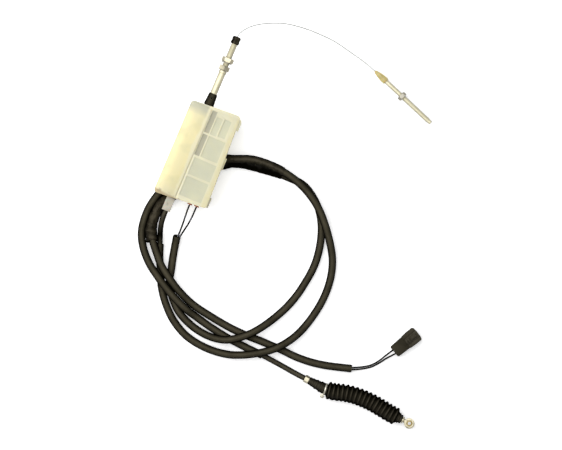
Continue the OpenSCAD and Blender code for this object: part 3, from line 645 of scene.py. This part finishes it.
# Near-black pin, darker than the black plastic round it: painted shade of the dimple it sits in
SHADED_PIN = surface("pin_black_painted_shade", (0.0006, 0.0005, 0.0003), (0.0012, 0.001, 0.0006), (0.7, 0.9),
              Specular_IOR_Level=0.05)[0]
RUBBER = black_rubber()
SLEEVE = sleeve_vinyl()
JACKET = conduit_jacket()
TAPE = tape()
LEAD = lead("lead", (0.3, 0.31, 0.36), 0.15)
PLUG_LEAD = lead("plug_lead", (0.03, 0.03, 0.034), 0.1)
STRAND = strand()
ZINC = plated("yellow_zinc", (0.42, 0.38, 0.26), (0.6, 0.55, 0.4), (0.3, 0.46),
              (0.72, 0.67, 0.51))
STEEL = plated("bright_zinc", (0.24, 0.225, 0.18), (0.4, 0.375, 0.31), (0.3, 0.46),
               (0.52, 0.5, 0.42))
ROD = plated("pale_zinc", (0.62, 0.575, 0.39), (0.76, 0.71, 0.5), (0.32, 0.46),
             (0.8, 0.75, 0.57), metallic=0.35)
CLAMP = plated("clamp_zinc", (0.5, 0.48, 0.4), (0.68, 0.65, 0.55), (0.3, 0.44),
               (0.75, 0.72, 0.6))
BRASS = plated("brass", (0.25, 0.18, 0.06), (0.4, 0.31, 0.12), (0.3, 0.46), (0.56, 0.46, 0.24))
AMBER = surface("amber_olive", (0.42, 0.34, 0.12), (0.6, 0.5, 0.2), (0.34, 0.48), scale=110.0,
                Subsurface_Weight=0.25, Subsurface_Scale=0.003)[0]
GREY = surface("grey_plastic", (0.12, 0.12, 0.11), (0.2, 0.2, 0.18), (0.45, 0.6))[0]
WHITE = surface("white_plastic", (0.36, 0.335, 0.265), (0.48, 0.45, 0.36), (0.38, 0.52),
                Subsurface_Weight=0.2, Subsurface_Scale=0.003)[0]
ORANGE = surface("orange_rubber", (0.3, 0.07, 0.02), (0.5, 0.15, 0.05), (0.45, 0.6))[0]
RED = surface("red_plastic", (0.32, 0.04, 0.02), (0.5, 0.09, 0.04), (0.35, 0.45))[0]


# ---- Cords ----

def make_control_cable():
    """Bare casing end to end, and the sleeve over its middle stretch."""
    core_path = smooth_path(CONDUIT_UPPER + CABLE[1:] + CONDUIT_LOWER[1:], 2.5 * MM,
                            CONDUIT_R + 0.1 * MM)
    core = tube("control_cable", core_path, CONDUIT_R, JACKET, sides=16)
    settle(core, "root", "conduit", "conduit_upper", "conduit_lower")
    sleeve_path = smooth_path(CABLE, 1.6 * MM, SLEEVE_R)
    skin = tube("cable_sleeve_skin", sleeve_path, loom_radius(sleeve_path, 3.0), SLEEVE, sides=24,
                mouth=1.2 * MM)
    settle(skin, "root", "sleeve", "cable_sleeve")
    return core, core_path, skin


def loom_radius(path, seed):
    """Half-width of a soft sleeve: a little uneven, with the lip of its cut ends rounded."""
    last = len(path) - 1
    waves_per_metre = 55

    def half(i, angle):
        spoke = Vector((seed, math.cos(angle) * 0.5, math.sin(angle) * 0.5))
        rings_in = min(i, last - i)
        lip = 0.95 if rings_in == 0 else 1.015 if rings_in < 3 else 1.0
        uneven = 0.985 + 0.03 * noise.noise(path[i] * waves_per_metre + spoke)
        return SLEEVE_R * lip * uneven
    return half


def make_harness():
    """The switch lead's sleeve."""
    path = smooth_path(HARNESS, 1.6 * MM, SLEEVE_R)
    skin = tube("harness_sleeve_skin", path, loom_radius(path, 9.0), SLEEVE, sides=24,
                mouth=1.2 * MM)
    return settle(skin, "root", "sleeve", "harness_sleeve"), path


def make_leads(routes, material):
    """Thin wires, as a dict from CAD node to the wire and its path."""
    made = {}
    for name, route in routes.items():
        path = smooth_path(route, 1.5 * MM, LEAD_R + 0.05 * MM)
        wire = tube(name + "_lead", path, LEAD_R, material, sides=12)
        made[name] = (settle(wire, "root", "lead", name), path)
    return made


def tape_laps(path, i, angle):
    """Height of the wound tape's edges and creases over the strands under it, in metres."""
    rings_per_lap, creases_per_metre = 7, 130
    lap = (i / rings_per_lap + angle / (2 * math.pi)) % 1
    p = path[i] * creases_per_metre + Vector((math.cos(angle), math.sin(angle), 0)) * 1.3
    return (0.25 * lap + 0.2 * noise.noise(p)) * MM


def make_wrap(name, path, outline, node):
    return settle(tube(name, path, 0, TAPE, sides=48, outline=outline), "root", "tape", node)


def above_floor(path, i, height):
    """Height of an outline's point from ring i's centre, kept just above the floor."""
    return max(height, FLOOR_Z + 0.1 * MM - path[i].z)


def make_wrap_right():
    """Tape wound tightly round both strands, flared where it leaves the housing."""
    path = smooth_path(WRAP_RIGHT, 1.2 * MM)
    flare_ring, flare_rings, flare_size = 12, 7, 1.5 * MM
    spots = []
    for p, side, up in frames_along(path):
        near = [min(strand_path, key=lambda q: (q - p).length) - p
                for strand_path in (cable_path, harness_path)]
        spots.append([(q.dot(side), q.dot(up)) for q in near])

    def outline(i, angle):
        across, upward = math.cos(angle), math.sin(angle)
        x, y = max(spots[i], key=lambda spot: spot[0] * across + spot[1] * upward)
        flare = max(0.0, 1 - abs(i - flare_ring) / flare_rings) * flare_size
        reach = SLEEVE_R + 0.5 * MM + tape_laps(path, i, angle)
        return x + (reach + flare) * across, above_floor(path, i, y + reach * upward)
    return make_wrap("tape_wrap_right", path, outline, "wrap_right")


def make_wrap_left():
    """Loose, creased tape round the harness below the housing's foot, with a flap on its left."""
    path = smooth_path(WRAP_LEFT, 1.2 * MM)
    half_widths = [6.5, 6.9, 6.6, 6.4, 6.7, 6.1]
    half_height = 5.2 * MM

    def outline(i, angle):
        share = i / (len(path) - 1) * (len(half_widths) - 1)
        k = min(int(share), len(half_widths) - 2)
        width = (half_widths[k] + (half_widths[k + 1] - half_widths[k]) * (share - k)) * MM
        flap = max(0.0, share - 3) * 1.3 * MM if math.cos(angle) < 0 else 0.0
        twist = math.sin(2 * math.pi * (share / 2.2 + angle / (2 * math.pi)))
        crease = 2.4 * tape_laps(path, i, angle) + 0.5 * MM * twist
        return ((width + crease + flap) * math.cos(angle),
                above_floor(path, i, (half_height + crease) * math.sin(angle)))
    return make_wrap("tape_wrap_left", path, outline, "wrap_left")


make_camera()
cable, cable_path, cable_skin = make_control_cable()
harness, harness_path = make_harness()
switch_leads = make_leads(SWITCH_WIRES, LEAD)
plug_leads = make_leads(PLUG_WIRES, PLUG_LEAD)
wraps = [make_wrap_right(), make_wrap_left()]
wire_path = smooth_path(INNER_WIRE, 1.2 * MM, WIRE_R + 0.05 * MM)
inner_wire = tube("inner_wire", wire_path, WIRE_R, STRAND, sides=12)
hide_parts("inner_wire_bend", "inner_wire_free")
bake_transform(inner_wire)


# ---- Housing ----

def make_housing():
    """Both shells. The cover's deeper sunk faces are panes, and its shallower ones cool panels."""
    base = softened("housing_base_shell", "housing_base", 0.5 * MM, IVORY)
    settle(base, "root", "ivory_shell", "housing_base")
    cover = softened("housing_cover_shell", "housing_cover", 0.7 * MM, IVORY, segments=3,
                     angle=25)
    cover_over_switch = 3 * MM
    top_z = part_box("switch_body")[1].z + cover_over_switch
    cover.data.materials.append(PANE)
    cover.data.materials.append(PANEL)
    for face in cover.data.polygons:
        sunk = top_z - face.center.z
        if face.normal.z > 0.9 and 0.1 * MM < sunk < 2 * MM:
            face.material_index = 1 if sunk > 1 * MM else 2
    settle(cover, "root", "ivory_shell", "housing_cover")


make_housing()


# ---- Adjuster ----

ADJUSTER_AXIS = ((0, 0, 0), (0, 1, 0))


def make_adjuster():
    """Turned tube with a real screw thread, its two nuts, the toothed washer and the cap."""
    low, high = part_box("adjuster_tube")
    stem_r, crest = 4.3 * MM, 3.95 * MM
    rows = [(low.y, stem_r), (-13.4 * MM, stem_r), (-13.1 * MM, 4.8 * MM), (-12.9 * MM, 4.9 * MM),
            (-10.3 * MM, 4.9 * MM), (-10.1 * MM, 4.75 * MM)]
    rows += thread_rows(-10 * MM, 30.4 * MM, crest, 1.25 * MM, 0.4 * MM)
    rows += [(high.y, crest - 0.6 * MM)]
    screw = turned("adjuster_screw", rows, *ADJUSTER_AXIS, ROD)
    settle(screw, "adjuster", "yellow_zinc", "adjuster_tube")
    for name, body, node, turn in (
            ("adjuster_nut_lower", "lower_nut", "lower_locknut", 0.0),
            ("adjuster_nut_upper", "upper_nut", "upper_locknut", math.pi / 6)):
        low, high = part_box(node)
        rows = hex_rows(low.y, high.y - low.y, 13 * MM, crest + 0.05 * MM, turn)
        nut = turned(name, rows, *ADJUSTER_AXIS, ZINC, segments=96, loop=True)
        settle(nut, body, "yellow_zinc", node)
    make_star_washer()
    make_cap()


def make_star_washer():
    """Outside-toothed washer, its teeth twisted out of its plane."""
    low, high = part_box("lock_washer")
    middle, half = (low.y + high.y) / 2, 0.3 * MM
    bore, ring_r, gap_r, tooth_r = 4.15 * MM, 5.8 * MM, 6.1 * MM, 6.98 * MM
    teeth = 12

    def rim(side):
        def row(angle):
            phase = (angle * teeth / (2 * math.pi)) % 1
            tooth = phase < 0.5
            twist = (phase - 0.25) * 1.1 * MM if tooth else 0.0
            return middle + side * half + twist, tooth_r if tooth else gap_r
        return row
    rows = [(middle - half, bore), (middle - half, ring_r), rim(-1), rim(1),
            (middle + half, ring_r), (middle + half, bore)]
    washer = turned("star_washer", rows, *ADJUSTER_AXIS, STEEL, segments=144, loop=True)
    settle(washer, "adjuster", "grey_steel", "lock_washer")


def make_cap():
    """Rubber dust cap with soft lobes round it and a drawn-in mouth for the wire."""
    low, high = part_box("dust_cap")
    lobes, lobe_depth = 5, 0.35

    def place(share):
        return low.y + (high.y - low.y) * share

    def lobed(share, size):
        depth = lobe_depth * (1 if share < 0.9 else 0.4)
        return lambda angle: (place(share), (size + depth * math.cos(lobes * angle)) * MM)
    outside = [(0.0, 4.9), (0.06, 5.15), (0.35, 5.2), (0.45, 4.75), (0.52, 4.7), (0.6, 5.15),
               (0.85, 5.1), (0.94, 4.6), (1.0, 3.4)]
    inside = [(1.0, 0.85), (0.7, 0.85), (0.55, 4.1)]
    rows = [(low.y, 4.15 * MM)] + [lobed(share, size) for share, size in outside]
    rows += [(place(share), size * MM) for share, size in inside]
    cap = turned("rubber_cap", rows, *ADJUSTER_AXIS, RUBBER, segments=80, loop=True)
    settle(cap, "adjuster", "black_rubber", "dust_cap")


make_adjuster()


# ---- Free end of the inner wire ----

def make_wire_end():
    """Amber olive on the wire, the threaded rod and its nut."""
    along = direction(-20)
    tip = wire_path[-1]
    olive_l, nut_at, rod_l = 19 * MM, 43.5 * MM, 95 * MM
    core_r, crest, tip_r = 2.7 * MM, 3.0 * MM, 2.5 * MM
    shape = [(-0.2, 0.95), (0.3, 1.5), (1.2, 1.95), (3, 2.45), (6, 3.1), (9, 3.65), (12, 4.05),
             (15, 4.3), (17, 4.35), (18.3, 4.2), (18.9, 3.8), (19, 2.75)]
    olive = turned("wire_olive_body", in_mm(shape), tip, along, AMBER, sharp=60)
    settle(olive, "wire_end", "tan_plastic", "wire_olive")
    rows = [(olive_l, core_r), (nut_at - 1.2 * MM, core_r)]
    rows += thread_rows(nut_at - 1 * MM, rod_l - 5 * MM, crest, 1.0 * MM, 0.25 * MM)
    rows += [(rod_l - 4.6 * MM, tip_r), (rod_l - 0.9 * MM, tip_r), (rod_l, 1.8 * MM)]
    rod = turned("threaded_rod", rows, tip, along, ROD)
    settle(rod, "wire_end", "yellow_zinc", "end_rod")
    rows = hex_rows(nut_at, 5 * MM, 10 * MM, crest + 0.05 * MM, math.pi / 6)
    nut = turned("rod_nut_hex", rows, tip, along, STEEL, segments=96, loop=True)
    settle(nut, "rod_nut", "grey_steel", "rod_locknut")
    return olive


olive = make_wire_end()


# ---- Pedal end ----

BOOT_HEIGHT = Vector((0, 0, FLOOR_Z + 11.7 * MM))
NECK_START = Vector((248.6, -323, 0)) * MM + BOOT_HEIGHT
NECK_WAY = direction(-5)
EYE = Vector((384.8, -323.4, 0)) * MM + BOOT_HEIGHT
PULL_WAY = direction(-4)


def make_pedal_end():
    """Ferrule, ridged boot neck, bellows and end collar."""
    across_flats = 9.8 * MM * math.cos(math.pi / 6)
    rows = hex_rows(-6 * MM, 5.9 * MM, across_flats, 3.0 * MM, math.pi / 6)
    ferrule = turned("ferrule_hex", rows, NECK_START, NECK_WAY, ZINC, segments=96, loop=True)
    settle(ferrule, "root", "yellow_zinc", "conduit_ferrule")
    shape = [(0.1, 4.2), (0.5, 4.7), (4.5, 5.1), (5, 5.5), (5.6, 5.5), (6.1, 5.2), (9, 5.5),
             (9.6, 6.2), (10.4, 6.4), (11.2, 6.2), (11.8, 5.8), (15.2, 6.2), (15.8, 6.9),
             (16.6, 7.15), (17.4, 7.0), (18, 6.8), (20.6, 6.85), (27.3, 6.85), (27.4, 4.2)]
    neck = turned("boot_neck_rubber", in_mm(shape), NECK_START, NECK_WAY, RUBBER, sharp=50)
    settle(neck, "root", "black_rubber", "boot_neck")
    make_bellows()
    make_end_collar()
    return ferrule


def make_bellows():
    """Seventeen soft convolutions along the boot's curve."""
    convolutions, rings_each = 17, 10
    crest_r, mouth_r, valley_r = 11.4, 7.6, 9.1
    count = convolutions * rings_each
    path = smooth_path(BELLOWS, 0.1 * MM)
    path = [path[round(i * (len(path) - 1) / count)] for i in range(count + 1)]

    def half(i, angle):
        swing = 0.5 - 0.5 * math.cos(2 * math.pi * i / rings_each)
        inside = min(1.0, min(i, count - i) / (rings_each / 2))
        pinched = 0.55 * max(0.0, -math.cos(angle)) * inside
        valley = mouth_r + (valley_r - mouth_r) * inside
        depth = (crest_r - valley) * (1 - pinched)
        crest = crest_r - 0.25 * pinched
        return (crest - depth * (1 - swing ** 0.7)) * MM
    boot = tube("bellows_boot", path, half, RUBBER, sides=48)
    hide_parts("bellows")
    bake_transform(boot)


def make_end_collar():
    """Stepped collar that closes the bellows, measured back from the eye."""
    shape = [(-17.2, 7.6), (-16.6, 7.4), (-16, 6.4), (-15, 6.75), (-14.2, 6.6), (-13.5, 5.7),
             (-12.8, 5.45), (-12.2, 5.75), (-11.3, 5.75), (-10.6, 5.3), (-10.2, 3.2)]
    collar = turned("boot_end_collar", in_mm(shape), EYE, PULL_WAY, RUBBER, sharp=60)
    settle(collar, "pull_rod", "black_rubber", "bellows_end_collar")


ferrule = make_pedal_end()


# ---- Carried-over parts: rounded copies, and CAD nodes that only need their material ----

ROUNDED = {
    "adjuster_socket": ("root", "black_plastic", BLACK, 0.4),
    "outlet_fitting": ("root", "white_plastic", WHITE, 0.7),
    "standoffs": ("root", "black_plastic", BLACK, 0.5),
    "slider_block": ("slider", "grey_plastic", GREY, 0.4),
    "cam_bar": ("slider", "grey_plastic", GREY, 0.3),
    "switch_body": ("root", "black_plastic", BLACK, 0.4),
    "connector_body": ("root", "black_plastic", BLACK, 1.5),
    "connector_latch": ("root", "black_plastic", BLACK, 0.4),
    "boot_clamp": ("root", "grey_steel", CLAMP, 0.3),
    "end_eye": ("pull_rod", "yellow_zinc", ZINC, 0.6),
    "eye_bush": ("pull_rod", "brass", BRASS, 0.25),
}
PLAIN = {
    "foot_inserts": BRASS, "socket_pin": SHADED_PIN, "guide_tube": STEEL, "wire_nipple_in": STEEL,
    "wire_nipple_out": STEEL, "inner_wire_core": STEEL, "outlet_wire": STEEL, "cam_screw": STEEL,
    "switch_plunger": RED, "switch_screws": STEEL, "switch_terminals": BRASS,
    "wire_grommets": ORANGE, "connector_terminals": BRASS, "wire_seals": ORANGE,
    "conduit_end_tube": STEEL, "pull_rod": ZINC,
}
for node, (body, slot, material, width) in ROUNDED.items():
    piece = softened(node + "_rounded", node, width * MM, material)
    settle(piece, body, slot, node)
for node, material in PLAIN.items():
    NODES[node].data.materials.clear()
    NODES[node].data.materials.append(material)

pedal_path = smooth_path(PEDAL_WIRE, 1.2 * MM)
pedal_wire = tube("pedal_wire_strand", pedal_path, WIRE_R, STRAND, sides=12)
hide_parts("pedal_wire")
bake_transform(pedal_wire)


# ---- Floor and light ----

WORLD_DIM = 0.1
WORLD_BRIGHT = 0.5
SOFTBOX_POWER = 36


def make_floor():
    size = 6.0
    corners = [(-size, -size), (size, -size), (size, size), (-size, size)]
    z = FLOOR_Z - 0.05 * MM
    floor = new_piece("floor", [(x, y, z) for x, y in corners], [(0, 1, 2, 3)], floor_paper())


def area_light(name, place, power, size):
    """Square lamp that faces the middle of the picture."""
    data = bpy.data.lights.new(name, "AREA")
    data.energy = power
    data.size = size
    light = bpy.data.objects.new(name, data)
    bpy.context.scene.collection.objects.link(light)
    light.location = place
    aim = Vector((*VIEW_CENTRE, FLOOR_Z)) - Vector(place)
    light.rotation_euler = aim.to_track_quat("-Z", "Y").to_euler()


def make_light():
    """Soft white surround, dimmer to the right and at the horizon, with a large softbox over
    the object and a small weak one at its left."""
    world = bpy.data.worlds.new("studio")
    world.use_nodes = True
    tree = world.node_tree
    split = add(tree, "SeparateXYZ", Vector=add(tree, "TexCoord").outputs["Generated"])
    lean = math_of(tree, "MULTIPLY", split.outputs["X"], -0.5)
    height = math_of(tree, "ADD", split.outputs["Z"], lean)
    glow = mapped(tree, height, -0.2, 0.9, WORLD_DIM, WORLD_BRIGHT)
    background = tree.nodes["Background"]
    background.inputs["Color"].default_value = (1, 1, 1, 1)
    tree.links.new(glow, background.inputs["Strength"])
    bpy.context.scene.world = world
    area_light("softbox_over", (-0.5, 0.0, 1.7), SOFTBOX_POWER, 2.2)
    area_light("softbox_left", (-1.1, -0.4, 1.0), SOFTBOX_POWER * 0.12, 0.6)
    view = bpy.context.scene.view_settings
    view.view_transform = "Standard"
    view.look = "None"


make_floor()
make_light()
